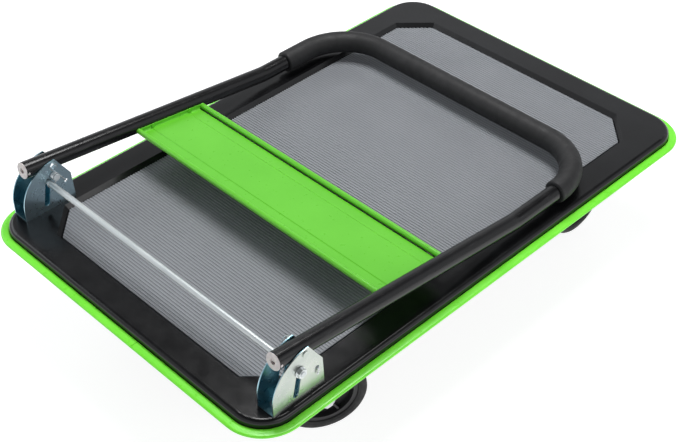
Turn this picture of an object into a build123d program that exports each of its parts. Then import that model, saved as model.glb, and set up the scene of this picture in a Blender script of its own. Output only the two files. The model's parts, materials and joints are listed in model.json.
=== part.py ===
from build123d import *
from math import acos, atan2, cos, degrees, radians, sin, sqrt, tan
import os

# Folding platform cart, in millimetres.
# +Z is up from the floor, +X runs from the handle's hinge to the free end, +Y is the cart's left.
# The handle is folded down on the deck.

os.makedirs("parts", exist_ok=True)

# ---- driving dimensions: wheels and deck height ----
wheel_radius = 62.5
tyre_width = 32
caster_height = 155
sheet = 1.5

# ---- driving dimensions: deck ----
deck_length = 880
deck_width = 574
deck_corner = 50
deck_edge_radius = 7
wall_height = 28
hem_width = 12
mat_half_length = 390
mat_half_width = 235
mat_corner_cut = 44
mat_thickness = 3.5
rim_step = 6
recess_run = 6.5
rib_pitch = 4.7
rib_height = 0.8
recess_floor = caster_height + sheet
mat_top = recess_floor + mat_thickness
deck_top = mat_top + rim_step
deck_bottom = deck_top - wall_height

# ---- driving dimensions: edge strip ----
strip_length = 908
strip_width = 600
strip_corner = 64
strip_drop = 11.5
strip_lip = 6
strip_leg = 4
strip_leg_height = 12
strip_nose = 2.2
strip_joint_y = -46
strip_joint_gap = 0.4

# ---- driving dimensions: brackets; heights are above the deck's rim ----
bracket_y = 263
bracket_gap = 26
bracket_sheet = 2
bracket_back = -410.5
bracket_front = -324.5
bracket_top_x = -326.5
bracket_apex_x = -348.5
bracket_apex_height = 79
bracket_front_height = 44.5
bracket_arc_radius = 62
pivot_x = -354.5
pivot_height = 71
pivot_radius = 4
slot_width = 9
rod_top_x = -365
rod_top_height = 48
rod_bottom_x = -373
rod_bottom_height = 13
slot_spare = 1.5
spring_x = -355
spring_height = 55.5
anchor_x = -336
anchor_height = 34.5
anchor_radius = 3
bracket_bolt_x = (-396, -337)

# ---- driving dimensions: handle ----
tube_radius = 12.5
tube_wall = 1.5
stub_length = 38.7
plug_hole = 4.2
plug_pin_depth = 2.6
leg_slope = 6.7
kink_x = 60
kink_radius = 60
handle_end_x = 246
handle_bend = 88
grip_radius = 17.5
grip_start_left = 107
grip_start_right = 150
panel_start = 152
panel_width = 131
panel_sheet = 1.2
panel_lip = 8

# ---- driving dimensions: casters ----
swivel_x = -303
fixed_x = 296
caster_y = 198
trail = 35
swivel_turn = {"left": -14, "right": -27}
plate_length = 104
plate_width = 80
plate_thickness = 2.5
stud_x = 40
stud_y = 30
stud_radius = 4
fork_inner = 42
fork_sheet = 2.5
head_height = 10
axle_radius = 5
sleeve_radius = 6.5
running = 0.05
hub_radius = 48
ball_count = 12

slope = radians(leg_slope)
pivot_z = deck_top + pivot_height
kink_z = pivot_z - tan(slope) * (kink_x - pivot_x)
leg_dir = Vector(cos(slope), 0, -sin(slope))
leg_up = Vector(sin(slope), 0, cos(slope))
inner_face = bracket_y - bracket_gap / 2 - bracket_sheet
outer_face = bracket_y + bracket_gap / 2 + bracket_sheet
sides = {"left": 1, "right": -1}


def save(name, *solids):
    """Write the solids as one node."""
    shape = solids[0] if len(solids) == 1 else Compound(children=list(solids))
    shape.label = name
    export_step(shape, f"parts/{name}.step")


def rod(start, direction, radius, length):
    """A round bar that begins at start."""
    return Solid.make_cylinder(radius, length, Plane(origin=start, z_dir=direction))


def ring(start, direction, outer, inner, length):
    """A round bar with a round hole through it."""
    return rod(start, direction, outer, length) - rod(start, direction, inner, length)


def hexagon(start, direction, across_flats, length, bore=0):
    """A hexagon nut or bolt head with slightly chamfered corners."""
    base = Plane(origin=start, z_dir=direction)
    body = extrude(base * RegularPolygon(across_flats / 2, 6, major_radius=False), length)
    body = body & Solid.make_cone(
        across_flats / 2 * 1.06, across_flats / 2 * 1.06 + length * 1.7, length, base
    )
    if bore:
        body = body - rod(start, direction, bore, length)
    return body


def plate(length, width, corner, low, high):
    """A flat plate with round corners between two heights."""
    return extrude(Plane.XY.offset(low) * RectangleRounded(length, width, corner), high - low)


def octagon(half_length, half_width, cut, z):
    """A rectangle with its corners cut off at 45 degrees."""
    quarter = [(half_length, half_width - cut), (half_length - cut, half_width)]
    half = quarter + [(-x, y) for x, y in reversed(quarter)]
    points = half + [(-x, -y) for x, y in half]
    return Plane.XY.offset(z) * make_face(Polyline(*points, close=True))


def slot_face(start, end, width):
    """A straight slot in the XZ plane, from one round end's centre to the other's."""
    dx = end[0] - start[0]
    dz = end[1] - start[1]
    middle = ((start[0] + end[0]) / 2, (start[1] + end[1]) / 2)
    slot = SlotCenterToCenter(sqrt(dx * dx + dz * dz), width, rotation=degrees(atan2(dz, dx)))
    return Pos(*middle) * slot


def slab(face, y_low, y_high):
    """A face drawn in the XZ plane, made solid between two values of Y."""
    return extrude(Plane.XZ.offset(-y_high) * face, y_high - y_low)


# ---- deck plate: a shell with a rounded rim, an octagonal tub, a hem and its holes ----
def deck_plate():
    body = plate(deck_length, deck_width, deck_corner, deck_bottom, deck_top)
    body = fillet(body.faces().sort_by(Axis.Z)[-1].edges(), deck_edge_radius)
    hollow = plate(
        deck_length - 2 * sheet, deck_width - 2 * sheet, deck_corner - sheet, deck_bottom - 1, deck_top - sheet
    )
    hollow = fillet(hollow.faces().sort_by(Axis.Z)[-1].edges(), deck_edge_radius - sheet)
    grow = sheet * 0.8
    tub = loft([
        octagon(mat_half_length + grow, mat_half_width + grow, mat_corner_cut, recess_floor - sheet),
        octagon(
            mat_half_length + recess_run + grow, mat_half_width + recess_run + grow, mat_corner_cut + 3, deck_top
        ),
    ])
    pocket = loft([
        octagon(mat_half_length, mat_half_width, mat_corner_cut, recess_floor),
        octagon(
            mat_half_length + recess_run, mat_half_width + recess_run, mat_corner_cut + 3, deck_top
        ),
    ])
    hem = plate(deck_length - 1, deck_width - 1, deck_corner - 0.5, deck_bottom, deck_bottom + sheet)
    hem = hem - plate(
        deck_length - 2 * hem_width, deck_width - 2 * hem_width, deck_corner - hem_width, deck_bottom - 1,
        deck_bottom + sheet + 1,
    )
    body = body - hollow + tub - pocket + hem
    for side in sides.values():
        for x in bracket_bolt_x:
            body = body - rod((x, side * bracket_y, deck_top - 5), (0, 0, 1), stud_radius, 10)
    return body


# ---- mat: a flat sheet with ribs across the cart ----
def ribbed_mat():
    base_top = mat_top - rib_height
    body = extrude(octagon(mat_half_length, mat_half_width, mat_corner_cut, recess_floor), base_top - recess_floor)
    outline = extrude(octagon(mat_half_length, mat_half_width, mat_corner_cut, base_top - 0.1), rib_height + 0.1)
    count = int(2 * mat_half_length / rib_pitch)
    start = -rib_pitch * (count - 1) / 2
    profile = Trapezoid(rib_pitch * 0.62, rib_height + 0.1, 70, align=(Align.CENTER, Align.MIN))
    ribs = []
    for i in range(count):
        rib = Pos(start + i * rib_pitch, base_top - 0.1) * profile
        ribs.append(slab(rib, -mat_half_width, mat_half_width))
    return body + (Compound(children=ribs) & outline)


# ---- edge strip: a lip with a round nose and a leg behind it, its ends butting at the handle end ----
def bumper_strip():
    top = deck_top - strip_drop
    lip = plate(strip_length, strip_width, strip_corner, top - strip_lip, top)
    lip = fillet(lip.faces().sort_by(Axis.Z)[-1].edges(), strip_nose)
    lip = fillet(lip.faces().sort_by(Axis.Z)[0].edges(), strip_nose)
    grow = 2 * strip_leg
    leg = plate(
        deck_length + grow, deck_width + grow, deck_corner + strip_leg, top - strip_leg_height, top - 1
    )
    hole = plate(deck_length, deck_width, deck_corner, top - strip_leg_height - 1, top + 1)
    joint = Pos(-strip_length / 2, strip_joint_y, top) * Box(60, strip_joint_gap, 60)
    return lip + leg - hole - joint


def stiffener_channels():
    """Two open hat channels, welded along the underside of the deck's floor."""
    channels = []
    depth = 14
    for y in (-95, 95):
        outside = Polyline(
            (y - 30, 0), (y - 30, -sheet), (y - 18, -sheet), (y - 14, -depth), (y + 14, -depth),
            (y + 18, -sheet), (y + 30, -sheet), (y + 30, 0), (y + 16.6, 0), (y + 12.8, sheet - depth),
            (y - 12.8, sheet - depth), (y - 16.6, 0), close=True,
        )
        base = Plane.YZ.offset(-370) * (Pos(0, caster_height) * make_face(outside))
        channels.append(extrude(base, 740))
    return channels


# ---- brackets: U of sheet steel with two equal cheeks ----
def cheek_face():
    low = deck_top
    centre_height = bracket_apex_height - bracket_arc_radius
    edges = [
        Line((bracket_back, low + centre_height), (bracket_back, low)),
        Line((bracket_back, low), (bracket_front, low)),
        Line((bracket_front, low), (bracket_top_x, low + bracket_front_height)),
        Line((bracket_top_x, low + bracket_front_height), (bracket_apex_x, low + bracket_apex_height)),
        CenterArc((bracket_apex_x, low + centre_height), bracket_arc_radius, 90, 90),
    ]
    face = make_face(edges)
    slot_top = (rod_top_x, low + rod_top_height + slot_spare)
    face = face - slot_face(slot_top, (rod_bottom_x, low + rod_bottom_height), slot_width)
    face = face - Pos(pivot_x, pivot_z) * Circle(pivot_radius + running)
    return face - Pos(anchor_x, low + anchor_height) * Circle(anchor_radius)


def bracket(side):
    y = side * bracket_y
    half = bracket_gap / 2
    face = cheek_face()
    body = slab(face, y - half - bracket_sheet, y - half)
    body = body + slab(face, y + half, y + half + bracket_sheet)
    base = Pos((bracket_back + bracket_front) / 2, y, deck_top + bracket_sheet / 2)
    body = body + base * Box(bracket_front - bracket_back, bracket_gap + 1, bracket_sheet)
    for x in bracket_bolt_x:
        body = body - rod((x, y, deck_top - 1), (0, 0, 1), stud_radius + running, 10)
    post = rod((spring_x, side * (inner_face - 1), deck_top + spring_height), (0, side, 0), 2, 4)
    return body - post


def bracket_fasteners():
    bolts = []
    nuts = []
    for side in sides.values():
        for x in bracket_bolt_x:
            y = side * bracket_y
            shank = rod((x, y, deck_top - 12), (0, 0, 1), stud_radius - running, 12 + bracket_sheet)
            head = hexagon((x, y, deck_top + bracket_sheet), (0, 0, 1), 10, 3.5)
            bolts.append(shank + head)
            nuts.append(hexagon((x, y, deck_top - sheet - 6.5), (0, 0, 1), 13, 6.5, stud_radius))
    return bolts, nuts


def pivot_pins():
    """A low flat head outside, a threaded end with its nut on the bracket's inner face."""
    pins = []
    nuts = []
    for side in sides.values():
        across = (0, -side, 0)
        length = outer_face - inner_face + 8
        shank = rod((pivot_x, side * outer_face, pivot_z), across, pivot_radius, length)
        shank = chamfer(shank.edges().sort_by(Axis.Y)[0 if side > 0 else -1], 0.8)
        head = rod((pivot_x, side * (outer_face + 1.4), pivot_z), across, 4.8, 1.4)
        pins.append(shank + head)
        nuts.append(hexagon((pivot_x, side * inner_face, pivot_z), across, 11, 5.5, pivot_radius))
    return pins, nuts


# ---- release springs: a coil round a post, one leg to the anchor hole, one under the rod ----
coil_outer = 6.1
coil_inner = 4.1
coil_length = 7.2
coil_reach = (coil_outer + coil_inner) / 2
wire_radius = 0.9


def spring_post(side):
    start = (spring_x, side * (inner_face + bracket_sheet), deck_top + spring_height)
    stem = rod(start, (0, -side, 0), 2, bracket_sheet + coil_length + 1)
    cap = rod((spring_x, side * (inner_face - coil_length - 1), start[2]), (0, -side, 0), 5, 1.6)
    return stem + cap


def wire(start, end):
    run = Vector(end) - Vector(start)
    return rod(start, run, wire_radius, run.length)


def release_spring(side):
    height = deck_top + spring_height
    near = side * (inner_face - 0.3 - wire_radius)
    far = side * (inner_face - 0.1 - coil_length + wire_radius)
    coil = ring((spring_x, side * (inner_face - 0.2), height), (0, -side, 0), coil_outer, coil_inner, coil_length)
    rod_turn = atan2(rod_top_height - spring_height, rod_top_x - spring_x) + radians(90)
    under = rod_neck + wire_radius + 0.3
    rod_leg = wire(
        (spring_x + coil_reach * cos(rod_turn), far, height + coil_reach * sin(rod_turn)),
        (rod_top_x + under * cos(rod_turn) - 4, far, deck_top + rod_top_height + under * sin(rod_turn) - 2.8),
    )
    across = anchor_x - spring_x
    down = anchor_height - spring_height
    anchor_turn = atan2(down, across) + acos(coil_reach / sqrt(across * across + down * down))
    anchor = (anchor_x, near, deck_top + anchor_height)
    anchor_leg = wire(
        (spring_x + coil_reach * cos(anchor_turn), near, height + coil_reach * sin(anchor_turn)), anchor
    )
    elbow = Pos(*anchor) * Sphere(wire_radius + 0.1)
    hook = rod(anchor, (0, side, 0), wire_radius - 0.05, 5)
    return coil + rod_leg + anchor_leg + elbow + hook


# ---- release rod: a foot bar with necked ends that slide in the four slots ----
rod_radius = 4.5
rod_neck = 4
neck_start = inner_face - 14
rod_end = outer_face + 7.5
washer_radius = 8


def release_rod():
    z = deck_top + rod_top_height
    body = rod((rod_top_x, -neck_start, z), (0, 1, 0), rod_radius, 2 * neck_start)
    body = chamfer(body.edges().filter_by(GeomType.CIRCLE), 0.45)
    neck = rod((rod_top_x, -rod_end, z), (0, 1, 0), rod_neck, 2 * rod_end)
    neck = chamfer(neck.edges().filter_by(GeomType.CIRCLE), 0.8)
    return body + neck


def rod_end_pieces():
    """A washer and a nut on each end of the rod."""
    washers = []
    nuts = []
    for side in sides.values():
        height = deck_top + rod_top_height
        washer_start = (rod_top_x, side * (outer_face + 0.5), height)
        nut_start = (rod_top_x, side * (outer_face + 1.5), height)
        washers.append(ring(washer_start, (0, side, 0), washer_radius, rod_neck, 1))
        nuts.append(hexagon(nut_start, (0, side, 0), 12, 4.5, rod_neck))
    return washers, nuts


# ---- handle: one bent tube, its sleeve, the panel between its legs and the plugs in its ends ----
def leg_point(along, up, y):
    """A point beside the sloping leg: along it from the pivot, above its axis, and across the cart."""
    return Vector(pivot_x, y, pivot_z) + leg_dir * along + leg_up * up


def handle_path(left_start, right_start):
    """The tube's axis from the left leg round the U to the right leg."""
    points = [left_start]
    radii = []
    if left_start.X < kink_x:
        points.append(Vector(kink_x, bracket_y, kink_z))
        radii.append(kink_radius)
    points.append(Vector(handle_end_x, bracket_y, kink_z))
    points.append(Vector(handle_end_x, -bracket_y, kink_z))
    radii += [handle_bend, handle_bend]
    if right_start.X < kink_x:
        points.append(Vector(kink_x, -bracket_y, kink_z))
        radii.append(kink_radius)
    points.append(right_start)
    return FilletPolyline(*points, radius=radii)


def pipe(path, outer, inner):
    """A hollow round section carried along a path."""
    base = Plane(origin=path @ 0, z_dir=path % 0)
    return sweep(base * Circle(outer), path) - sweep(base * Circle(inner), path)


def handle_tube():
    left = leg_point(-stub_length, 0, bracket_y)
    right = leg_point(-stub_length, 0, -bracket_y)
    body = pipe(handle_path(left, right), tube_radius, tube_radius - tube_wall)
    for side in sides.values():
        across = rod((pivot_x, side * (bracket_y - 20), pivot_z), (0, side, 0), pivot_radius + running, 40)
        body = body - across
        pin = leg_point(plug_pin_depth - stub_length, 0, side * (bracket_y - 20))
        body = body - rod(pin, (0, side, 0), 2, 40)
    return body


def grip_sleeve():
    left = Vector(grip_start_left, bracket_y, kink_z)
    right = Vector(grip_start_right, -bracket_y, kink_z)
    return pipe(handle_path(left, right), grip_radius, tube_radius)


def tube_plugs():
    plugs = []
    pins = []
    for side in sides.values():
        y = side * bracket_y
        inner = tube_radius - tube_wall
        face = leg_point(-stub_length - 1.2, 0, y)
        cap = rod(face, leg_dir, tube_radius - 0.2, 1.2)
        cap = fillet(cap.edges().sort_by(Axis.X)[0], 0.8)
        body = cap + rod(leg_point(-stub_length, 0, y), leg_dir, inner, 16)
        body = body - rod(face, leg_dir, plug_hole, 14)
        pin_start = leg_point(plug_pin_depth - stub_length, 0, y - tube_radius - 0.2)
        pin = rod(pin_start, (0, 1, 0), 2, 2 * tube_radius + 0.4)
        plugs.append(body - pin)
        pins.append(pin)
    return plugs, pins


def panel_plane(y):
    """A plane across the legs: its local X runs along them and its local Y stands off them."""
    return Plane(origin=leg_point(0, 0, y), x_dir=leg_dir, z_dir=(0, -1, 0))


panel_half = bracket_y - tube_radius - 0.1
panel_floor = -7


def handle_panel():
    """A shallow tray with a raised round lip on each long edge and an upright flange at each end."""
    start = panel_start
    end = panel_start + panel_width
    low = panel_floor
    high = low + panel_lip
    bend = 3
    trace = FilletPolyline(
        (start, high), (start, low), (end, low), (end, high), radius=[bend, bend]
    )
    profile = trace.offset_2d(panel_sheet, side=Side.LEFT, closed=True)
    body = extrude(panel_plane(panel_half) * make_face(profile), 2 * panel_half)
    hem = 2.2
    for x in (start + hem - panel_sheet * 0.4, end - hem + panel_sheet * 0.4):
        bar = rod(leg_point(x, high, -panel_half), (0, 1, 0), hem, 2 * panel_half)
        body = body + bar
    for side in sides.values():
        y = side * panel_half
        flange = Pos((start + end) / 2, low + panel_lip / 2) * Rectangle(panel_width - 12, panel_lip)
        inward = extrude(panel_plane(y) * flange, side * panel_sheet)
        body = body + inward
        for x in (start + 30, end - 30):
            body = body - rod(leg_point(x, -1.5, y - side * 3), (0, side, 0), 2, 6)
    return body


def panel_screws():
    screws = []
    for side in sides.values():
        for x in (panel_start + 30, panel_start + panel_width - 30):
            face = side * (panel_half - panel_sheet)
            head = rod(leg_point(x, -1.5, face), (0, -side, 0), 3.6, 1.8)
            stem = rod(leg_point(x, -1.5, face), (0, side, 0), 2, panel_sheet)
            screws.append(head + stem)
    return screws


# ---- casters, drawn round their own pin at the origin and then placed ----
def place(shape, x, y, turn):
    return Pos(x, y, 0) * Rot(0, 0, turn) * shape


def stud_places(x, y):
    return [(x + sx * stud_x, y + sy * stud_y) for sx in (-1, 1) for sy in (-1, 1)]


def swivel_plate():
    body = plate(plate_length, plate_width, 8, caster_height - plate_thickness, caster_height)
    under = caster_height - plate_thickness
    body = body + ring((0, 0, under - 5), (0, 0, 1), 28, 25, 5)
    body = body - rod((0, 0, under - 1), (0, 0, 1), 6, 10)
    for x, y in stud_places(0, 0):
        body = body - rod((x, y, under - 1), (0, 0, 1), stud_radius + 0.4, 10)
    return body


head_top = caster_height - head_height


def king_pin():
    shank_low = head_top - fork_sheet - 0.3
    shank = rod((0, 0, shank_low), (0, 0, 1), 6, caster_height - 0.2 - shank_low)
    return shank + rod((0, 0, shank_low - 3), (0, 0, 1), 10, 3)


def swivel_balls():
    balls = []
    for i in range(ball_count):
        turn = radians(360 / ball_count * i)
        balls.append(Pos(20.5 * cos(turn), 20.5 * sin(turn), head_top + 3.6) * Sphere(3))
    return balls


def leg_face(top_back, top_front, top, axle_x, foot):
    """A fork leg seen from the side: a straight top edge and tangent sides round the axle."""
    low = Pos(axle_x, wheel_radius) * Circle(foot)
    bar = make_face(Polyline((top_back, top), (top_front, top), (top_front, top - 8), (top_back, top - 8), close=True))
    points = [(top_back, top), (top_front, top), (top_front, top - 8)]
    for start, sign in ((Vector(top_front, top - 8), 1), (Vector(top_back, top - 8), -1)):
        centre = Vector(axle_x, wheel_radius)
        away = start - centre
        swing = degrees(atan2(away.Y, away.X)) - sign * 90
        lean = degrees(atan2(foot, sqrt(away.length ** 2 - foot ** 2)))
        turn = radians(swing + sign * lean)
        points.append((axle_x + foot * cos(turn), wheel_radius + foot * sin(turn)))
    points.append((top_back, top - 8))
    hull = make_face(Polyline(*points, close=True))
    return hull + low + bar - Pos(axle_x, wheel_radius) * Circle(axle_radius)


def swivel_fork():
    half = fork_inner / 2
    face = leg_face(-20, 24, head_top, trail, 13)
    body = slab(face, half, half + fork_sheet) + slab(face, -half - fork_sheet, -half)
    head = Pos(2, 0, head_top - fork_sheet / 2) * Box(44, fork_inner + 1, fork_sheet)
    body = body + head
    return body - rod((0, 0, head_top - 5), (0, 0, 1), 6 + running, 10)


def fixed_fork():
    half = fork_inner / 2
    under = caster_height - plate_thickness
    body = plate(plate_length, plate_width, 8, under, caster_height)
    face = leg_face(-32, 32, under + 0.5, 0, 13)
    body = body + slab(face, half, half + fork_sheet) + slab(face, -half - fork_sheet, -half)
    for x, y in stud_places(0, 0):
        body = body - rod((x, y, under - 1), (0, 0, 1), stud_radius + 0.4, 10)
    return body


def wheel_hub(axle_x):
    """A plastic wheel centre: rim, web, ribs and boss, turned round the axle."""
    inner = hub_radius - 6
    boss = 13
    half = tyre_width / 2 - 3
    axis = (0, 1, 0)
    body = ring((axle_x, -half, wheel_radius), axis, hub_radius, inner, 2 * half)
    body = body + ring((axle_x, -4, wheel_radius), axis, inner + 1, boss - 1, 8)
    body = body + ring((axle_x, -19, wheel_radius), axis, boss, sleeve_radius + running, 38)
    for i in range(6):
        rib = Pos((inner + boss) / 2, 0, 0) * Box(inner - boss + 2, 2 * half - 4, 3)
        body = body + Pos(axle_x, 0, wheel_radius) * Rot(0, 60 * i, 0) * rib
    return body


def tyre(axle_x):
    """A rubber band with a flattened tread and rounded shoulders."""
    half = tyre_width / 2
    inner = hub_radius
    section = make_face(Polyline(
        (inner, -half + 3), (inner + 2, -half + 1), (inner + 4, -half), (wheel_radius - 4, -half),
        (wheel_radius - 1, -half + 3), (wheel_radius - 0.3, -half + 7), (wheel_radius, 0),
        (wheel_radius - 0.3, half - 7), (wheel_radius - 1, half - 3), (wheel_radius - 4, half),
        (inner + 4, half), (inner + 2, half - 1), (inner, half - 3), close=True,
    ))
    band = revolve(section, Axis.Y)
    return Pos(axle_x, 0, wheel_radius) * band


def axle_pieces(axle_x):
    half = fork_inner / 2
    out = half + fork_sheet
    start = (axle_x, -out, wheel_radius)
    shank = rod(start, (0, 1, 0), axle_radius - running, 2 * out + 10)
    bolt = shank + hexagon(start, (0, -1, 0), 15, 6)
    nut = hexagon((axle_x, out, wheel_radius), (0, 1, 0), 15, 8, axle_radius - running)
    sleeve = ring((axle_x, -half, wheel_radius), (0, 1, 0), sleeve_radius, axle_radius, fork_inner)
    return bolt, nut, sleeve


def wheel(name, x, y, turn, axle_x):
    bolt, nut, sleeve = axle_pieces(axle_x)
    save(f"wheel_hub_{name}", place(wheel_hub(axle_x), x, y, turn))
    save(f"tyre_{name}", place(tyre(axle_x), x, y, turn))
    save(f"axle_bolt_{name}", place(bolt, x, y, turn))
    save(f"axle_nut_{name}", place(nut, x, y, turn))
    save(f"axle_sleeve_{name}", place(sleeve, x, y, turn))


def casters():
    studs = []
    nuts = []
    for name, side in sides.items():
        y = side * caster_y
        turn = swivel_turn[name]
        save(f"swivel_plate_{name}", place(swivel_plate(), swivel_x, y, 0))
        save(f"king_pin_{name}", place(king_pin(), swivel_x, y, 0))
        save(f"swivel_balls_{name}", *[place(ball, swivel_x, y, 0) for ball in swivel_balls()])
        save(f"swivel_fork_{name}", place(swivel_fork(), swivel_x, y, turn))
        wheel(f"rear_{name}", swivel_x, y, turn, trail)
        save(f"fixed_fork_{name}", place(fixed_fork(), fixed_x, y, 0))
        wheel(f"front_{name}", fixed_x, y, 0, 0)
        for x, stud_at in stud_places(swivel_x, y) + stud_places(fixed_x, y):
            under = caster_height - plate_thickness
            studs.append(rod((x, stud_at, under - 9), (0, 0, 1), stud_radius, plate_thickness + 9))
            nuts.append(hexagon((x, stud_at, under), (0, 0, -1), 13, 6.5, stud_radius))
    save("caster_studs", *studs)
    save("caster_nuts", *nuts)


save("deck_plate", deck_plate())
save("ribbed_mat", ribbed_mat())
save("bumper_strip", bumper_strip())
save("stiffener_channels", *stiffener_channels())
for side_name, side_sign in sides.items():
    save(f"bracket_{side_name}", bracket(side_sign))
    save(f"release_spring_{side_name}", release_spring(side_sign))
bolt_list, nut_list = bracket_fasteners()
save("bracket_bolts", *bolt_list)
save("bracket_nuts", *nut_list)
pin_list, pin_nut_list = pivot_pins()
save("pivot_pins", *pin_list)
save("pivot_nuts", *pin_nut_list)
save("spring_posts", *[spring_post(side) for side in sides.values()])
save("release_rod", release_rod())
washer_list, rod_nut_list = rod_end_pieces()
save("rod_washers", *washer_list)
save("rod_nuts", *rod_nut_list)
save("handle_tube", handle_tube())
save("grip_sleeve", grip_sleeve())
save("handle_panel", handle_panel())
save("panel_screws", *panel_screws())
plug_list, plug_pin_list = tube_plugs()
save("tube_plugs", *plug_list)
save("plug_pins", *plug_pin_list)
casters()
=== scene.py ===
import json
from math import acos, atan2, cos, pi, radians, sin, sqrt, tan

import bmesh
import bpy
from mathutils import Matrix, Vector


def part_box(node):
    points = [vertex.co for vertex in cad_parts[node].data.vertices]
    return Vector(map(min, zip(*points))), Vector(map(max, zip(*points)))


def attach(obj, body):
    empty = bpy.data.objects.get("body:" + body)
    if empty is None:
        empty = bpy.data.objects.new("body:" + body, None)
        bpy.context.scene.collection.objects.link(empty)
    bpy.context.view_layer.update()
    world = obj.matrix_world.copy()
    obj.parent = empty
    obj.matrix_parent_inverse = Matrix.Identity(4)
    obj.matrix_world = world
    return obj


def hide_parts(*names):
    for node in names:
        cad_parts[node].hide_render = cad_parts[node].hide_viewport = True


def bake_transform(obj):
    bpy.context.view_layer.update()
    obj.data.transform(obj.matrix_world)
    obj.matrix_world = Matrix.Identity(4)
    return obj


# Folding platform cart: materials on the CAD pieces, and meshes for the edge strip, grip, handle panel,
# spring hooks, tyres and release springs.
# Metres. +Z up from the floor, +X from the handle's hinge to the free end, +Y the cart's left.

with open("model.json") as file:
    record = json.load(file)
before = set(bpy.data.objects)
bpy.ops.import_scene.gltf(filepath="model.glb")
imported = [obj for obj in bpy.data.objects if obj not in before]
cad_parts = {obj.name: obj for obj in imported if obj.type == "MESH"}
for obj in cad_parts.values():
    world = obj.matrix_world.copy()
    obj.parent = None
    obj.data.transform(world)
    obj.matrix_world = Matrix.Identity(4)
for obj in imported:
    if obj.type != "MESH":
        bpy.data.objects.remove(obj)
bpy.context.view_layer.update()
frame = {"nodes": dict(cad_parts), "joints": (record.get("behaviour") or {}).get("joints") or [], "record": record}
nodes = frame["nodes"]
MM = 0.001
SIDES = {"left": 1, "right": -1}


# ---- node helpers ----
class Shader:
    """A material under construction: a Principled shader and short calls that add nodes to it."""

    def __init__(self, name, color, roughness, metallic=0.0, **sockets):
        self.material = bpy.data.materials.new(name)
        self.material.use_nodes = True
        self.tree = self.material.node_tree
        self.surface = self.tree.nodes["Principled BSDF"]
        self.place = self.tree.nodes.new("ShaderNodeTexCoord").outputs["Object"]
        self.set("Base Color", (*color, 1))
        self.set("Roughness", roughness)
        self.set("Metallic", metallic)
        for socket, value in sockets.items():
            self.set(socket.replace("_", " "), value)

    def set(self, socket, value):
        self.surface.inputs[socket].default_value = value

    def link(self, output, socket):
        self.tree.links.new(output, socket)

    def stretched(self, scale):
        """The object's coordinates times a scale for each axis."""
        node = self.tree.nodes.new("ShaderNodeMapping")
        node.inputs["Scale"].default_value = scale
        self.link(self.place, node.inputs["Vector"])
        return node.outputs["Vector"]

    def noise(self, scale, detail=3.0, rough=0.55, vector=None):
        node = self.tree.nodes.new("ShaderNodeTexNoise")
        node.inputs["Scale"].default_value = scale
        node.inputs["Detail"].default_value = detail
        node.inputs["Roughness"].default_value = rough
        self.link(vector or self.place, node.inputs["Vector"])
        return node.outputs["Fac"]

    def cells(self, scale):
        """Distance to the middle of the nearest cell."""
        node = self.tree.nodes.new("ShaderNodeTexVoronoi")
        node.inputs["Scale"].default_value = scale
        self.link(self.place, node.inputs["Vector"])
        return node.outputs["Distance"]

    def coordinate(self, axis):
        """One of the object's own coordinates, by its letter."""
        node = self.tree.nodes.new("ShaderNodeSeparateXYZ")
        self.link(self.place, node.inputs["Vector"])
        return node.outputs[axis]

    def spread(self, value, low, high, out_low=0.0, out_high=1.0):
        """Maps low..high to out_low..out_high, clamped."""
        node = self.tree.nodes.new("ShaderNodeMapRange")
        numbers = {"From Min": low, "From Max": high, "To Min": out_low, "To Max": out_high}
        for socket, number in numbers.items():
            node.inputs[socket].default_value = number
        self.link(value, node.inputs["Value"])
        return node.outputs["Result"]

    def blend(self, factor, first, second):
        """A colour between two, each a tuple or a socket."""
        node = self.tree.nodes.new("ShaderNodeMix")
        node.data_type = "RGBA"
        self.link(factor, node.inputs["Factor"])
        for socket, value in ((node.inputs[6], first), (node.inputs[7], second)):
            if isinstance(value, tuple):
                socket.default_value = (*value, 1)
            else:
                self.link(value, socket)
        return node.outputs[2]

    def color(self, output):
        self.link(output, self.surface.inputs["Base Color"])

    def roughness(self, output):
        self.link(output, self.surface.inputs["Roughness"])

    def uneven_roughness(self, scale, detail, smoothest, roughest):
        """Roughness that wanders between two values."""
        self.roughness(self.spread(self.noise(scale, detail), 0.3, 0.7, smoothest, roughest))

    def bump(self, *layers):
        """Adds bumps, each (height output, strength, distance in metres), one on another."""
        below = None
        for height, strength, distance in layers:
            node = self.tree.nodes.new("ShaderNodeBump")
            node.inputs["Strength"].default_value = strength
            node.inputs["Distance"].default_value = distance
            self.link(height, node.inputs["Height"])
            if below:
                self.link(below, node.inputs["Normal"])
            below = node.outputs["Normal"]
        self.link(below, self.surface.inputs["Normal"])


# ---- materials ----
def black_paint():
    """Satin black powder coat: fine orange peel and faint dust."""
    m = Shader("black_paint", (0.006, 0.006, 0.007), 0.2, Specular_IOR_Level=0.4)
    dust = m.spread(m.noise(9, 5), 0.45, 0.75)
    m.color(m.blend(dust, (0.005, 0.005, 0.0055), (0.0095, 0.01, 0.011)))
    m.uneven_roughness(35, 4, 0.17, 0.25)
    m.bump((m.noise(700, 2), 0.12, 0.0002), (m.noise(160, 2), 0.06, 0.0004))
    return m.material


def tube_paint():
    """Gloss black enamel on the handle's tube."""
    m = Shader("tube_paint", (0.006, 0.006, 0.0065), 0.22, Specular_IOR_Level=0.42)
    rub = m.spread(m.noise(1, 4, 0.6, m.stretched((25, 220, 220))), 0.58, 0.7)
    m.color(m.blend(rub, (0.005, 0.005, 0.0055), (0.015, 0.015, 0.016)))
    m.uneven_roughness(60, 4, 0.19, 0.26)
    m.bump((m.noise(420, 2), 0.05, 0.0001))
    return m.material


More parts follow.
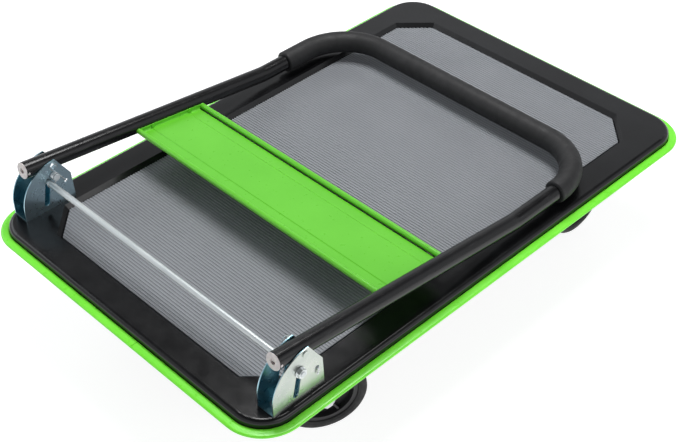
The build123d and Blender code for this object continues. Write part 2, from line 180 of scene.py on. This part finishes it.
def mat_rubber():
    """Grey ribbed vinyl: mottled, with painted shade darkening the furrows."""
    m = Shader("mat_rubber", (0.17, 0.17, 0.175), 0.62)
    mottle = m.spread(m.noise(14, 6, 0.6), 0.35, 0.7)
    fine = m.spread(m.noise(1300, 2), 0.3, 0.7)
    base = m.blend(mottle, (0.225, 0.238, 0.256), (0.252, 0.265, 0.283))
    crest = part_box("ribbed_mat")[1].z
    rib = m.spread(m.coordinate("Z"), crest - 0.0009, crest - 0.0001)
    # painted shade: below the rib crests the grey turns darker, into the furrows
    furrow_painted_shade = m.blend(rib, (0.158, 0.167, 0.181), base)
    speck = m.blend(fine, (0.185, 0.195, 0.21), furrow_painted_shade)
    m.color(m.blend(m.spread(fine, 0.0, 1.0, 0.45, 1.0), speck, furrow_painted_shade))
    m.roughness(m.spread(mottle, 0, 1, 0.52, 0.7))
    m.bump((m.noise(1600, 3), 0.25, 0.0002))
    return m.material


def green_vinyl():
    """Bright green extruded strip, glossy, with faint mottling and a fine bump."""
    m = Shader("green_vinyl", (0.15, 0.66, 0.025), 0.3)
    shade = m.spread(m.noise(22, 4), 0.3, 0.7)
    m.color(m.blend(shade, (0.15, 0.72, 0.025), (0.19, 0.8, 0.04)))
    m.uneven_roughness(90, 4, 0.26, 0.36)
    m.bump((m.noise(300, 3), 0.06, 0.0004))
    return m.material


def green_paint():
    """Green powder coat on the handle's panel."""
    m = Shader("green_paint", (0.12, 0.5, 0.03), 0.24)
    shade = m.spread(m.noise(11, 5), 0.35, 0.7)
    m.color(m.blend(shade, (0.108, 0.475, 0.02), (0.122, 0.51, 0.026)))
    m.uneven_roughness(120, 3, 0.27, 0.33)
    m.bump((m.noise(650, 2), 0.05, 0.0001), (m.noise(90, 2), 0.04, 0.0003))
    return m.material


def zinc(name, first, second):
    """Bright zinc plate between two tints, with soft spangle and rolling lines; returns the Shader."""
    m = Shader(name, first, 0.29, 1.0)
    m.color(m.blend(m.spread(m.noise(24, 3), 0.35, 0.65), first, second))
    m.uneven_roughness(160, 3, 0.26, 0.33)
    m.bump((m.noise(1, 4, 0.7, m.stretched((60, 900, 900))), 0.012, 0.0001), (m.noise(30, 1), 0.03, 0.001))
    return m


def bracket_zinc():
    """Grey-blue plate, with painted shade as a deeper, darker blue inside each U and painted light as a warmer
    grey on the outer right cheek.
    """
    m = zinc("bracket_zinc", (0.44, 0.6, 0.7), (0.56, 0.69, 0.76))
    low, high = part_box("bracket_right")
    skin = 0.5 * MM
    side = m.coordinate("Y")
    far = m.tree.nodes.new("ShaderNodeMath")
    far.operation = "ABSOLUTE"
    m.link(side, far.inputs[0])
    inside_far = m.spread(far.outputs[0], -low.y - 3 * skin, -low.y - skin)
    # painted shade: the faces inside the U get a deeper, darker blue
    u_shade_mask = m.spread(far.outputs[0], -high.y + skin, -high.y + 3 * skin)
    u_inside_painted_shade = m.blend(u_shade_mask, (0.46, 0.6, 0.67), (0.22, 0.44, 0.52))
    plate = m.blend(inside_far, u_inside_painted_shade, (0.5, 0.62, 0.7))
    outer = m.spread(side, low.y + skin, low.y + 3 * skin)
    # painted light: the outer right cheek gets a warmer grey of its own, matched to how that face is lit
    outer_cheek_painted_light = m.blend(m.spread(m.noise(24, 3), 0.35, 0.65), (0.48, 0.52, 0.49), (0.57, 0.6, 0.56))
    m.color(m.blend(outer, outer_cheek_painted_light, plate))
    return m.material


def bright_steel():
    """Drawn, plated steel: smooth with light drawing lines."""
    m = Shader("bright_steel", (0.72, 0.75, 0.76), 0.24, 1.0)
    cloud = m.spread(m.noise(70, 4), 0.35, 0.7)
    m.color(m.blend(cloud, (0.64, 0.67, 0.69), (0.76, 0.78, 0.78)))
    drawn = m.noise(1, 4, 0.65, m.stretched((1500, 25, 1500)))
    m.roughness(m.spread(drawn, 0.3, 0.7, 0.2, 0.36))
    m.bump((drawn, 0.04, 0.0001))
    return m.material


def white_zinc():
    """Pale, dull zinc on the spring posts."""
    m = Shader("white_zinc", (0.8, 0.83, 0.84), 0.36, 0.45)
    m.color(m.blend(m.spread(m.noise(180, 3), 0.35, 0.65), (0.72, 0.76, 0.78), (0.86, 0.88, 0.88)))
    m.uneven_roughness(500, 3, 0.3, 0.44)
    m.bump((m.noise(900, 2), 0.05, 0.0001))
    return m.material


def satin_rod():
    """The foot bar: dull plated rod, fine lines along it and a little tarnish."""
    m = Shader("satin_rod", (0.72, 0.75, 0.76), 0.42, 1.0)
    cloud = m.spread(m.noise(1, 4, 0.6, m.stretched((70, 14, 70))), 0.35, 0.7)
    m.color(m.blend(cloud, (0.55, 0.59, 0.6), (0.66, 0.69, 0.69)))
    drawn = m.noise(1, 4, 0.65, m.stretched((1500, 25, 1500)))
    m.roughness(m.spread(drawn, 0.3, 0.7, 0.38, 0.5))
    m.bump((drawn, 0.04, 0.0001))
    return m.material


def spring_wire():
    """Plated spring wire, a little cloudy."""
    m = Shader("spring_wire", (0.6, 0.62, 0.63), 0.3, 0.7)
    m.color(m.blend(m.spread(m.noise(220, 3), 0.35, 0.65), (0.58, 0.61, 0.63), (0.78, 0.8, 0.8)))
    m.uneven_roughness(500, 3, 0.22, 0.4)
    m.bump((m.noise(900, 2), 0.05, 0.0001))
    return m.material


def foam():
    """Black foam sleeve: matt, fine open pores and soft pressure marks."""
    m = Shader("foam", (0.008, 0.008, 0.009), 0.62, Specular_IOR_Level=0.4)
    worn = m.spread(m.noise(16, 5), 0.4, 0.72)
    m.color(m.blend(worn, (0.006, 0.006, 0.0065), (0.011, 0.011, 0.012)))
    m.uneven_roughness(80, 4, 0.5, 0.7)
    pores = m.spread(m.cells(1100), 0.0, 0.55)
    m.bump((pores, 0.28, 0.00025), (m.noise(45, 3), 0.12, 0.001))
    return m.material


def plug_plastic():
    """Pale, slightly translucent plastic of the tube plugs."""
    m = Shader("plug_plastic", (0.58, 0.53, 0.52), 0.45, Subsurface_Weight=0.05)
    m.color(m.blend(m.spread(m.noise(130, 4), 0.35, 0.7), (0.52, 0.47, 0.465), (0.64, 0.59, 0.58)))
    m.uneven_roughness(300, 3, 0.38, 0.55)
    m.bump((m.noise(1500, 2), 0.1, 0.0001))
    return m.material


def hub_plastic():
    """Dark moulded plastic of the wheel hubs."""
    m = Shader("hub_plastic", (0.05, 0.05, 0.053), 0.45)
    m.color(m.blend(m.spread(m.noise(40, 4), 0.35, 0.7), (0.011, 0.011, 0.012), (0.02, 0.02, 0.022)))
    m.uneven_roughness(160, 3, 0.38, 0.56)
    m.bump((m.noise(1300, 2), 0.15, 0.00015))
    return m.material


def tyre_rubber():
    """Black rubber, greyer with dust where it rolls."""
    m = Shader("tyre_rubber", (0.016, 0.016, 0.017), 0.6)
    dust = m.spread(m.noise(30, 5), 0.4, 0.75)
    m.color(m.blend(dust, (0.005, 0.005, 0.0055), (0.013, 0.0128, 0.0125)))
    m.uneven_roughness(90, 4, 0.5, 0.75)
    m.bump((m.noise(1500, 3), 0.2, 0.0002), (m.noise(240, 2), 0.1, 0.0003))
    return m.material


finish = {
    "black_paint": black_paint(),
    "grey_mat": mat_rubber(),
    "green_strip": green_vinyl(),
    "green_paint": green_paint(),
    "zinc": zinc("zinc", (0.5, 0.55, 0.58), (0.62, 0.65, 0.66)).material,
    "bright_steel": bright_steel(),
    "spring_steel": spring_wire(),
    "black_foam": foam(),
    "plug_grey": plug_plastic(),
    "hub_grey": hub_plastic(),
    "tyre_rubber": tyre_rubber(),
}
plate = bracket_zinc()
special = {"handle_tube": tube_paint(), "release_rod": satin_rod(), "spring_posts": white_zinc()}
special.update({node: plate for node in ("bracket_left", "bracket_right", "pivot_pins")})

for part in frame["record"]["subparts"]:
    node = nodes[part["node"]]
    node.data.materials.clear()
    node.data.materials.append(special.get(part["node"], finish[part["material_slot"]]))


# ---- mesh helpers ----
def make_piece(name, points, faces, slot, body=None):
    mesh = bpy.data.meshes.new(name)
    mesh.from_pydata([tuple(p) for p in points], [], faces)
    mesh.polygons.foreach_set("use_smooth", [True] * len(mesh.polygons))
    mesh.materials.append(finish[slot])
    mesh.update()
    piece = bpy.data.objects.new(name, mesh)
    bpy.context.scene.collection.objects.link(piece)
    if body:
        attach(piece, body)
    return piece


def rings_to_faces(count, size, closed, capped):
    """Quads between count rings of size points each, the rings joined end to end or capped."""
    faces = []
    for i in range(count if closed else count - 1):
        a = i * size
        b = ((i + 1) % count) * size
        for j in range(size):
            k = (j + 1) % size
            faces.append((a + j, a + k, b + k, b + j))
    if capped:
        faces.append(tuple(reversed(range(size))))
        faces.append(tuple((count - 1) * size + j for j in range(size)))
    return faces


def outward(piece):
    """Turns every face outwards."""
    work = bmesh.new()
    work.from_mesh(piece.data)
    bmesh.ops.recalc_face_normals(work, faces=work.faces)
    work.to_mesh(piece.data)
    work.free()
    return piece


def sharpen(piece, angle=35):
    """Shades flat across edges that turn by more than the angle, in degrees."""
    piece.data.set_sharp_from_angle(angle=radians(angle))


def arc(centre, radius, start, end, steps):
    """Points of an arc in a plane, angles in degrees, both ends included."""
    points = []
    for i in range(steps + 1):
        turn = radians(start + (end - start) * i / steps)
        points.append((centre[0] + radius * cos(turn), centre[1] + radius * sin(turn)))
    return points


def tube_along(points, radius, around):
    """Rings of points carried along a line without twisting."""
    rings = []
    side = None
    for i, here in enumerate(points):
        before = points[max(i - 1, 0)]
        after = points[min(i + 1, len(points) - 1)]
        ahead = (after - before).normalized()
        if side is None:
            side = ahead.orthogonal().normalized()
        side = (side - ahead * side.dot(ahead)).normalized()
        other = ahead.cross(side)
        for j in range(around):
            turn = 2 * pi * j / around
            rings.append(here + radius * (cos(turn) * side + sin(turn) * other))
    return rings


# ---- edge strip: a crowned lip on a hidden leg, swept round the deck from joint to joint ----
def edge_strip():
    low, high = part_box("bumper_strip")
    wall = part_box("deck_plate")[1]
    half_x = wall.x
    half_y = wall.y
    corner = 50 * MM
    reach = high.y - half_y
    lip = 6 * MM
    nose = 2.35 * MM
    gap = 0.25 * MM
    # profile: distance out from the deck's wall, height
    top = high.z
    section = [(gap, top - 0.9 * MM), (gap + 0.3 * MM, top - 0.35 * MM), (gap + 0.9 * MM, top - 0.1 * MM)]
    section += [(0.3 * reach, top), (0.5 * reach, top - 0.06 * MM), (0.68 * reach, top - 0.2 * MM)]
    section += arc((reach - nose, top - 0.35 * MM - nose), nose, 78, -90, 9)
    section += [(0.62 * reach, top - lip), (0.4 * reach, top - lip)]
    section += [(4 * MM, top - lip - 1 * MM), (4 * MM, low.z + 0.8 * MM), (3.2 * MM, low.z)]
    section += [(gap + 0.4 * MM, low.z), (gap, low.z + 0.5 * MM)]
    # stations: place, outward direction
    stations = []
    joint = -46 * MM
    half_gap = 0.3 * MM
    left_steps = 12
    right_steps = 10
    corner_steps = 16
    side_steps = 16
    inset_x = half_x - corner
    inset_y = half_y - corner
    back = Vector((-1, 0, 0))
    for i in range(left_steps):
        y = joint + half_gap + (inset_y - joint - half_gap) * i / left_steps
        stations.append((Vector((-half_x, y, 0)), back))
    for sx, sy, start in ((-1, 1, 180), (1, 1, 90), (1, -1, 0), (-1, -1, -90)):
        centre = Vector((sx * inset_x, sy * inset_y, 0))
        for i in range(corner_steps + 1):
            turn = radians(start - 90 * i / corner_steps)
            out = Vector((cos(turn), sin(turn), 0))
            stations.append((centre + corner * out, out))
        if (sx, sy) != (-1, -1):
            along = Vector((sin(radians(start - 90)), -cos(radians(start - 90)), 0))
            span = 2 * (inset_x if abs(along.x) > 0.5 else inset_y)
            out = stations[-1][1]
            origin = stations[-1][0]
            for i in range(1, side_steps):
                stations.append((origin + along * span * i / side_steps, out))
    for i in range(right_steps - 1, -1, -1):
        y = joint - half_gap - (inset_y + joint - half_gap) * i / right_steps
        stations.append((Vector((-half_x, y, 0)), back))
    points = []
    for place, out in stations:
        for across, height in section:
            points.append(place + out * across + Vector((0, 0, height)))
    faces = rings_to_faces(len(stations), len(section), False, True)
    strip = outward(make_piece("edge_strip", points, faces, "green_strip", "deck"))
    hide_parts("bumper_strip")
    sharpen(strip, 40)


# ---- grip: foam sleeve swept along the handle's U, its ends rolled down onto the tube ----
def grip():
    low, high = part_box("grip_sleeve")
    radius = (high.z - low.z) / 2
    height = (high.z + low.z) / 2
    end_x = high.x - radius
    side_y = high.y - radius
    bend = 88 * MM
    start_left = 107 * MM
    start_right = 150 * MM
    tube = 12.55 * MM
    bore = tube - 0.01 * MM
    around = 40
    leg_steps = 24
    bend_steps = 28
    bar_steps = 60
    short_leg_steps = 6
    centre_x = end_x - bend
    centre_y = side_y - bend
    line = []
    for i in range(leg_steps):
        line.append((start_left + (centre_x - start_left) * i / leg_steps, side_y))
    line += arc((centre_x, centre_y), bend, 90, 0, bend_steps)
    for i in range(1, bar_steps):
        line.append((end_x, centre_y - 2 * centre_y * i / bar_steps))
    line += arc((centre_x, -centre_y), bend, 0, -90, bend_steps)
    for i in range(1, short_leg_steps + 1):
        line.append((centre_x + (start_right - centre_x) * i / short_leg_steps, -side_y))
    line = [Vector((x, y, height)) for x, y in line]
    roll = [(0.0, tube), (0.0, tube + 2.2 * MM), (0.25 * MM, tube + 3.3 * MM), (0.9 * MM, tube + 4.2 * MM)]
    roll += [(1.9 * MM, radius - 0.15 * MM), (3.2 * MM, radius - 0.02 * MM)]
    stations = [(line[0], (line[1] - line[0]).normalized(), step, size) for step, size in roll]
    for i in range(1, len(line) - 1):
        ahead = (line[i + 1] - line[i - 1]).normalized()
        wave = 0.12 * MM * (sin(i * 1.7) * sin(i * 0.43) - 1)
        stations.append((line[i], ahead, 0, radius + wave))
    back = (line[-1] - line[-2]).normalized()
    stations += [(line[-1], back, -step, size) for step, size in reversed(roll)]
    lining = [(place, ahead, step, bore) for place, ahead, step, size in stations]
    points = []
    for place, ahead, step, size in stations + lining:
        side = ahead.cross(Vector((0, 0, 1))).normalized()
        for j in range(around):
            turn = 2 * pi * j / around
            points.append(place + ahead * step + size * (cos(turn) * side + sin(turn) * Vector((0, 0, 1))))
    inner = len(stations) * around
    skin = rings_to_faces(len(stations), around, False, False)
    faces = skin + [tuple(inner + v for v in reversed(face)) for face in skin]
    last = (len(stations) - 1) * around
    for base in (0, last):
        for j in range(around):
            k = (j + 1) % around
            faces.append((base + j, base + k, inner + base + k, inner + base + j))
    sleeve = outward(make_piece("foam_grip", points, faces, "black_foam", "handle"))
    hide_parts("grip_sleeve")
    sharpen(sleeve, 60)


# ---- handle panel: a sheet rolled at both long edges, two shallow creases, a flange at each end ----
def handle_panel():
    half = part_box("handle_panel")[1].y
    pivot = Vector(next(j for j in frame["joints"] if j["name"] == "handle_fold")["pos_m"])
    slope = radians(6.7)
    ahead = Vector((cos(slope), 0, -sin(slope)))
    up = Vector((sin(slope), 0, cos(slope)))
    start = 152 * MM
    end = 283 * MM
    bottom = -7 * MM
    sheet = 1.2 * MM
    roll = 4.4 * MM
    roll_steps = 26
    foot = 47
    top = bottom + sheet
    rise = 1.0 * MM
    ledge = 11 * MM
    near_crease, near_crest = 27 * MM, 28.4 * MM
    far_crease, far_crest = 31 * MM, 33 * MM
    crease_lift = 0.1 * MM
    half_steps = 12
    edge = 0.4 * MM

    def place(along, above, y):
        return pivot + ahead * along + up * above + Vector((0, y, 0))

    near_roll = arc((start + roll, bottom + roll), roll, -90, -360 - foot, roll_steps)
    far_roll = arc((end - roll, bottom + roll), roll, 180 + foot, -90, roll_steps)
    floor_line = [(start + ledge, top), (start + near_crease, top + crease_lift)]
    floor_line += [(start + near_crest, top + rise), (end - far_crest, top + rise)]
    floor_line += [(end - far_crease, top + crease_lift), (end - ledge, top)]
    section = near_roll + floor_line + far_roll
    section += [(end - far_crease, bottom), (end - far_crest, bottom + rise)]
    section += [(start + near_crest, bottom + rise), (start + near_crease, bottom)]
    middle_stations = [half * i / half_steps for i in range(1 - half_steps, half_steps)]
    stations = [-half, -half + edge] + middle_stations + [half - edge, half]
    points = []
    for y in stations:
        trim = 0.35 * MM if abs(y) > half - edge / 2 else 0
        for along, above in section:
            rolled = along < start + 2 * roll or along > end - 2 * roll
            middle = bottom + roll if rolled else bottom + sheet / 2
            points.append(place(along, above + (trim if above < middle else -trim), y))
    faces = rings_to_faces(len(stations), len(section), False, True)
    bend = 3 * MM
    bend_steps = 6
    flange_top = 1 * MM
    flange_inset = 8 * MM
    flange_steps = 10
    inside = 0.02 * MM
    for side in SIDES.values():
        wall = half - inside
        inner = wall - sheet
        outline = [(wall - bend, bottom + inside)]
        outline += arc((wall - bend, bottom + bend + inside), bend, -90, 0, bend_steps)[1:]
        outline += [(wall, flange_top - 0.4 * MM), (wall - 0.3 * MM, flange_top)]
        outline += [(inner + 0.3 * MM, flange_top), (inner, flange_top - 0.4 * MM)]
        outline += arc((inner - bend, bottom + bend + sheet), bend, 0, -90, bend_steps)
        base = len(points)
        length = end - start - 2 * flange_inset
        runs = [start + flange_inset + length * i / flange_steps for i in range(flange_steps + 1)]
        for along in runs:
            for y, above in outline:
                points.append(place(along, above, side * y))
        for face in rings_to_faces(len(runs), len(outline), False, True):
            faces.append(tuple(base + v for v in face))
    panel = outward(make_piece("green_panel", points, faces, "green_paint", "handle"))
    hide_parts("handle_panel")
    sharpen(panel, 20)
    # dark line at the foot of the far roll: painted shade, a black bead standing in for the shaded gap under the
    # roll
    foot_at = end - 2 * roll - 0.7 * MM
    bead = arc((foot_at, top + 0.3 * MM), 1.0 * MM, 0, 360, 10)[:-1]
    points = [place(along, above, y) for y in stations[1:-1] for along, above in bead]
    faces = rings_to_faces(len(stations) - 2, len(bead), False, True)
    outward(make_piece("panel_gap_painted_shade", points, faces, "black_paint", "handle"))


# ---- spring hooks: a wire end bent down over each outer cheek from its front hole ----
def spring_hook(name, side):
    low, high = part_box(f"bracket_{name}")
    face = high.y if side > 0 else low.y
    wire = 1.3 * MM
    around = 12
    hole_x = -336 * MM
    hole_z = low.z + 34.5 * MM
    bend = 2.4 * MM
    line = [Vector((hole_x, face - side * 5 * MM, hole_z)), Vector((hole_x, face - side * 2 * MM, hole_z))]
    out = face + side * 0.1 * MM
    for across, above in arc((0, 0), bend, 90, 0, 7):
        line.append(Vector((hole_x, out + side * across, hole_z + above - bend)))
    line.append(Vector((hole_x - 0.6 * MM, out + side * bend, hole_z - 6 * MM)))
    line.append(Vector((hole_x - 1.8 * MM, out + side * (bend - 0.3 * MM), hole_z - 9 * MM)))
    points = tube_along(line, wire, around)
    faces = rings_to_faces(len(line), around, False, True)
    hook = outward(make_piece(f"spring_hook_{name}", points, faces, "spring_steel", "deck"))
    sharpen(hook, 50)


# ---- tyres: turned round the axle, with a moulding seam, tread grooves and a bead at the hub ----
def tyre(name, centre, turn):
    half = 16 * MM
    outer = 62.5 * MM
    inner = 48 * MM
    groove = 0.9 * MM
    track = -6.5 * MM
    crown = outer - 0.2 * MM
    shoulder = outer - 0.3 * MM
    # half the profile as (radius, distance along the axle), then its mirror image
    section = [(inner + 0.05 * MM, -half + 3 * MM), (inner + 1 * MM, -half + 1.3 * MM)]
    section += [(inner + 2.2 * MM, -half + 0.6 * MM), (inner + 3 * MM, -half + 1.1 * MM)]
    section += [(inner + 4 * MM, -half + 0.35 * MM), (inner + 6 * MM, -half)]
    section += [(outer - 5 * MM, -half + 0.05 * MM), (outer - 2.6 * MM, -half + 1.3 * MM)]
    section += [(outer - 1.1 * MM, -half + 3.2 * MM), (outer - 0.55 * MM, -half + 5.6 * MM)]
    section += [(crown, track - 1.0 * MM), (shoulder, track - 0.6 * MM)]
    section += [(shoulder - groove, track - 0.35 * MM), (shoulder - groove, track + 0.35 * MM)]
    section += [(shoulder, track + 0.6 * MM), (crown, track + 1.0 * MM)]
    section += [(outer - 0.03 * MM, -2 * MM), (outer - 0.02 * MM, -0.25 * MM)]
    section += [(outer, 0.0)] + [(radius, -y) for radius, y in reversed(section)]
    steps = 120
    place = Matrix.Translation(centre) @ Matrix.Rotation(turn, 4, "Z")
    points = []
    for i in range(steps):
        angle = 2 * pi * (i + 0.5) / steps
        for radius, y in section:
            points.append(place @ Vector((radius * cos(angle), y, radius * sin(angle))))
    faces = rings_to_faces(steps, len(section), True, False)
    band = outward(make_piece(f"rubber_tyre_{name}", points, faces, "tyre_rubber", f"wheel_{name}"))
    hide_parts(f"tyre_{name}")
    sharpen(band, 30)


# ---- release springs: wound wire, one leg hooked in the bracket, the other under the foot bar ----
def release_spring(name, side):
    rod_low, rod_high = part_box("release_rod")
    post_low, post_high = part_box("spring_posts")
    bracket_low, bracket_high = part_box(f"bracket_{name}")
    wire = 0.9 * MM
    reach = 5.1 * MM
    under = 5.2 * MM
    hole_ahead = 19 * MM
    hole_below = 21 * MM
    hook_steps = 14
    hook_step = radians(13)
    centre_x = (post_low.x + post_high.x) / 2
    centre_z = (post_low.z + post_high.z) / 2
    face = bracket_low.y if side > 0 else bracket_high.y
    near = face - side * 1.25 * MM
    far = face - side * 6.5 * MM
    bar = Vector(((rod_low.x + rod_high.x) / 2, 0, (rod_low.z + rod_high.z) / 2))
    to_bar = Vector((bar.x - centre_x, 0, bar.z - centre_z))
    leave = atan2(to_bar.z, to_bar.x) + pi / 2
    hole = Vector((centre_x + hole_ahead, near, centre_z - hole_below))
    to_hole = hole - Vector((centre_x, near, centre_z))
    enter = atan2(to_hole.z, to_hole.x) + acos(reach / to_hole.length)
    turns = 3
    sweep = 2 * pi * turns + (leave - enter) % (2 * pi)
    line = [Vector((hole.x, face + side * 3.5 * MM, hole.z)), Vector((hole.x, face, hole.z))]
    line += [Vector((hole.x - 0.2 * MM, near + side * 0.4 * MM, hole.z + 0.25 * MM))]
    start = Vector((centre_x + reach * cos(enter), near, centre_z + reach * sin(enter)))
    line += [hole + (start - hole) * t for t in (0.06, 0.35, 0.7, 0.97)]
    steps = 26 * turns
    for i in range(steps + 1):
        turn = enter + sweep * i / steps
        y = near + (far - near) * i / steps
        line.append(Vector((centre_x + reach * cos(turn), y, centre_z + reach * sin(turn))))
    touch = Vector((bar.x + under * cos(leave), far, bar.z + under * sin(leave)))
    begin = line[-1]
    line += [begin + (touch - begin) * t for t in (0.3, 0.65, 1.0)]
    for i in range(1, hook_steps + 1):
        turn = leave - hook_step * i
        line.append(Vector((bar.x + under * cos(turn), far, bar.z + under * sin(turn))))
    around = 12
    points = tube_along(line, wire, around)
    faces = rings_to_faces(len(line), around, False, True)
    spring = outward(make_piece(f"wound_spring_{name}", points, faces, "spring_steel"))
    sharpen(spring, 50)
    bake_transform(spring)
    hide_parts(f"release_spring_{name}")


edge_strip()
grip()
handle_panel()
for side_name, side_sign in SIDES.items():
    release_spring(side_name, side_sign)
    spring_hook(side_name, side_sign)
    for end_name in ("rear", "front"):
        wheel = f"{end_name}_{side_name}"
        joint = next(j for j in frame["joints"] if j["name"] == f"spin_{wheel}")
        axis = joint["axis"]
        tyre(wheel, Vector(joint["pos_m"]), atan2(axis[1], axis[0]) - pi / 2)


# ---- stage: pale floor and studio light ----
def floor():
    """A pale square, large enough to pass behind everything in view."""
    mesh = bpy.data.meshes.new("floor")
    size = 30
    corners = [(-size, -size, 0), (size, -size, 0), (size, size, 0), (-size, size, 0)]
    mesh.from_pydata(corners, [], [(0, 1, 2, 3)])
    plane = bpy.data.objects.new("floor", mesh)
    bpy.context.scene.collection.objects.link(plane)
    m = Shader("studio_floor", (0.4, 0.4, 0.4), 0.8, Emission_Color=(1, 1, 1, 1), Emission_Strength=0.85)
    m.color(m.blend(m.noise(3, 3), (0.39, 0.39, 0.39), (0.42, 0.42, 0.42)))
    plane.data.materials.append(m.material)


def area_light(name, place, target, size, power, tint=(1, 1, 1)):
    data = bpy.data.lights.new(name, "AREA")
    data.shape = "RECTANGLE"
    data.size, data.size_y = size
    data.energy = power
    data.color = tint
    light = bpy.data.objects.new(name, data)
    light.location = place
    light.rotation_euler = (Vector(target) - Vector(place)).to_track_quat("-Z", "Y").to_euler()
    bpy.context.scene.collection.objects.link(light)


def studio():
    world = bpy.data.worlds.new("studio")
    bpy.context.scene.world = world
    world.use_nodes = True
    background = world.node_tree.nodes["Background"]
    # bright near the horizon, dim above it
    tree = world.node_tree
    coords = tree.nodes.new("ShaderNodeTexCoord")
    split = tree.nodes.new("ShaderNodeSeparateXYZ")
    level = tree.nodes.new("ShaderNodeMapRange")
    level.interpolation_type = "SMOOTHSTEP"
    for socket, value in (("From Min", 0.56), ("From Max", 0.71), ("To Min", 0.7), ("To Max", 0.06)):
        level.inputs[socket].default_value = value
    tree.links.new(coords.outputs["Generated"], split.inputs["Vector"])
    tree.links.new(split.outputs["Z"], level.inputs["Value"])
    tree.links.new(level.outputs["Result"], background.inputs["Strength"])
    background.inputs["Color"].default_value = (0.95, 0.97, 1, 1)
    area_light("overhead", (0.55, 0.3, 2.6), (0, 0, 0.1), (1.3, 1.1), 66)
    area_light("left_bank", (-0.8, 2.4, 1.7), (0, 0, 0.2), (2.2, 1.0), 14, (0.93, 0.97, 1))
    area_light("right_bank", (0.2, -2.6, 1.5), (0, 0, 0.2), (2.2, 1.0), 12)


def camera():
    data = bpy.data.cameras.new("camera")
    data.sensor_width = 36
    data.lens = 70.13
    data.clip_end = 100
    eye = (-1.09639, -1.11075, 1.38923)
    view = bpy.data.objects.new("camera", data)
    yaw = radians(46.07)
    down = radians(40.23)
    roll = radians(-0.89)
    ahead = Vector((cos(yaw) * cos(down), sin(yaw) * cos(down), -sin(down)))
    level = Vector((sin(yaw), -cos(yaw), 0))
    lift = level.cross(ahead)
    right = level * cos(roll) + lift * sin(roll)
    up = lift * cos(roll) - level * sin(roll)
    turned = Matrix((right, up, -ahead)).transposed().to_4x4()
    view.matrix_world = Matrix.Translation(eye) @ turned
    bpy.context.scene.collection.objects.link(view)
    bpy.context.scene.camera = view


floor()
studio()
camera()
bpy.context.scene.view_settings.view_transform = "Standard"
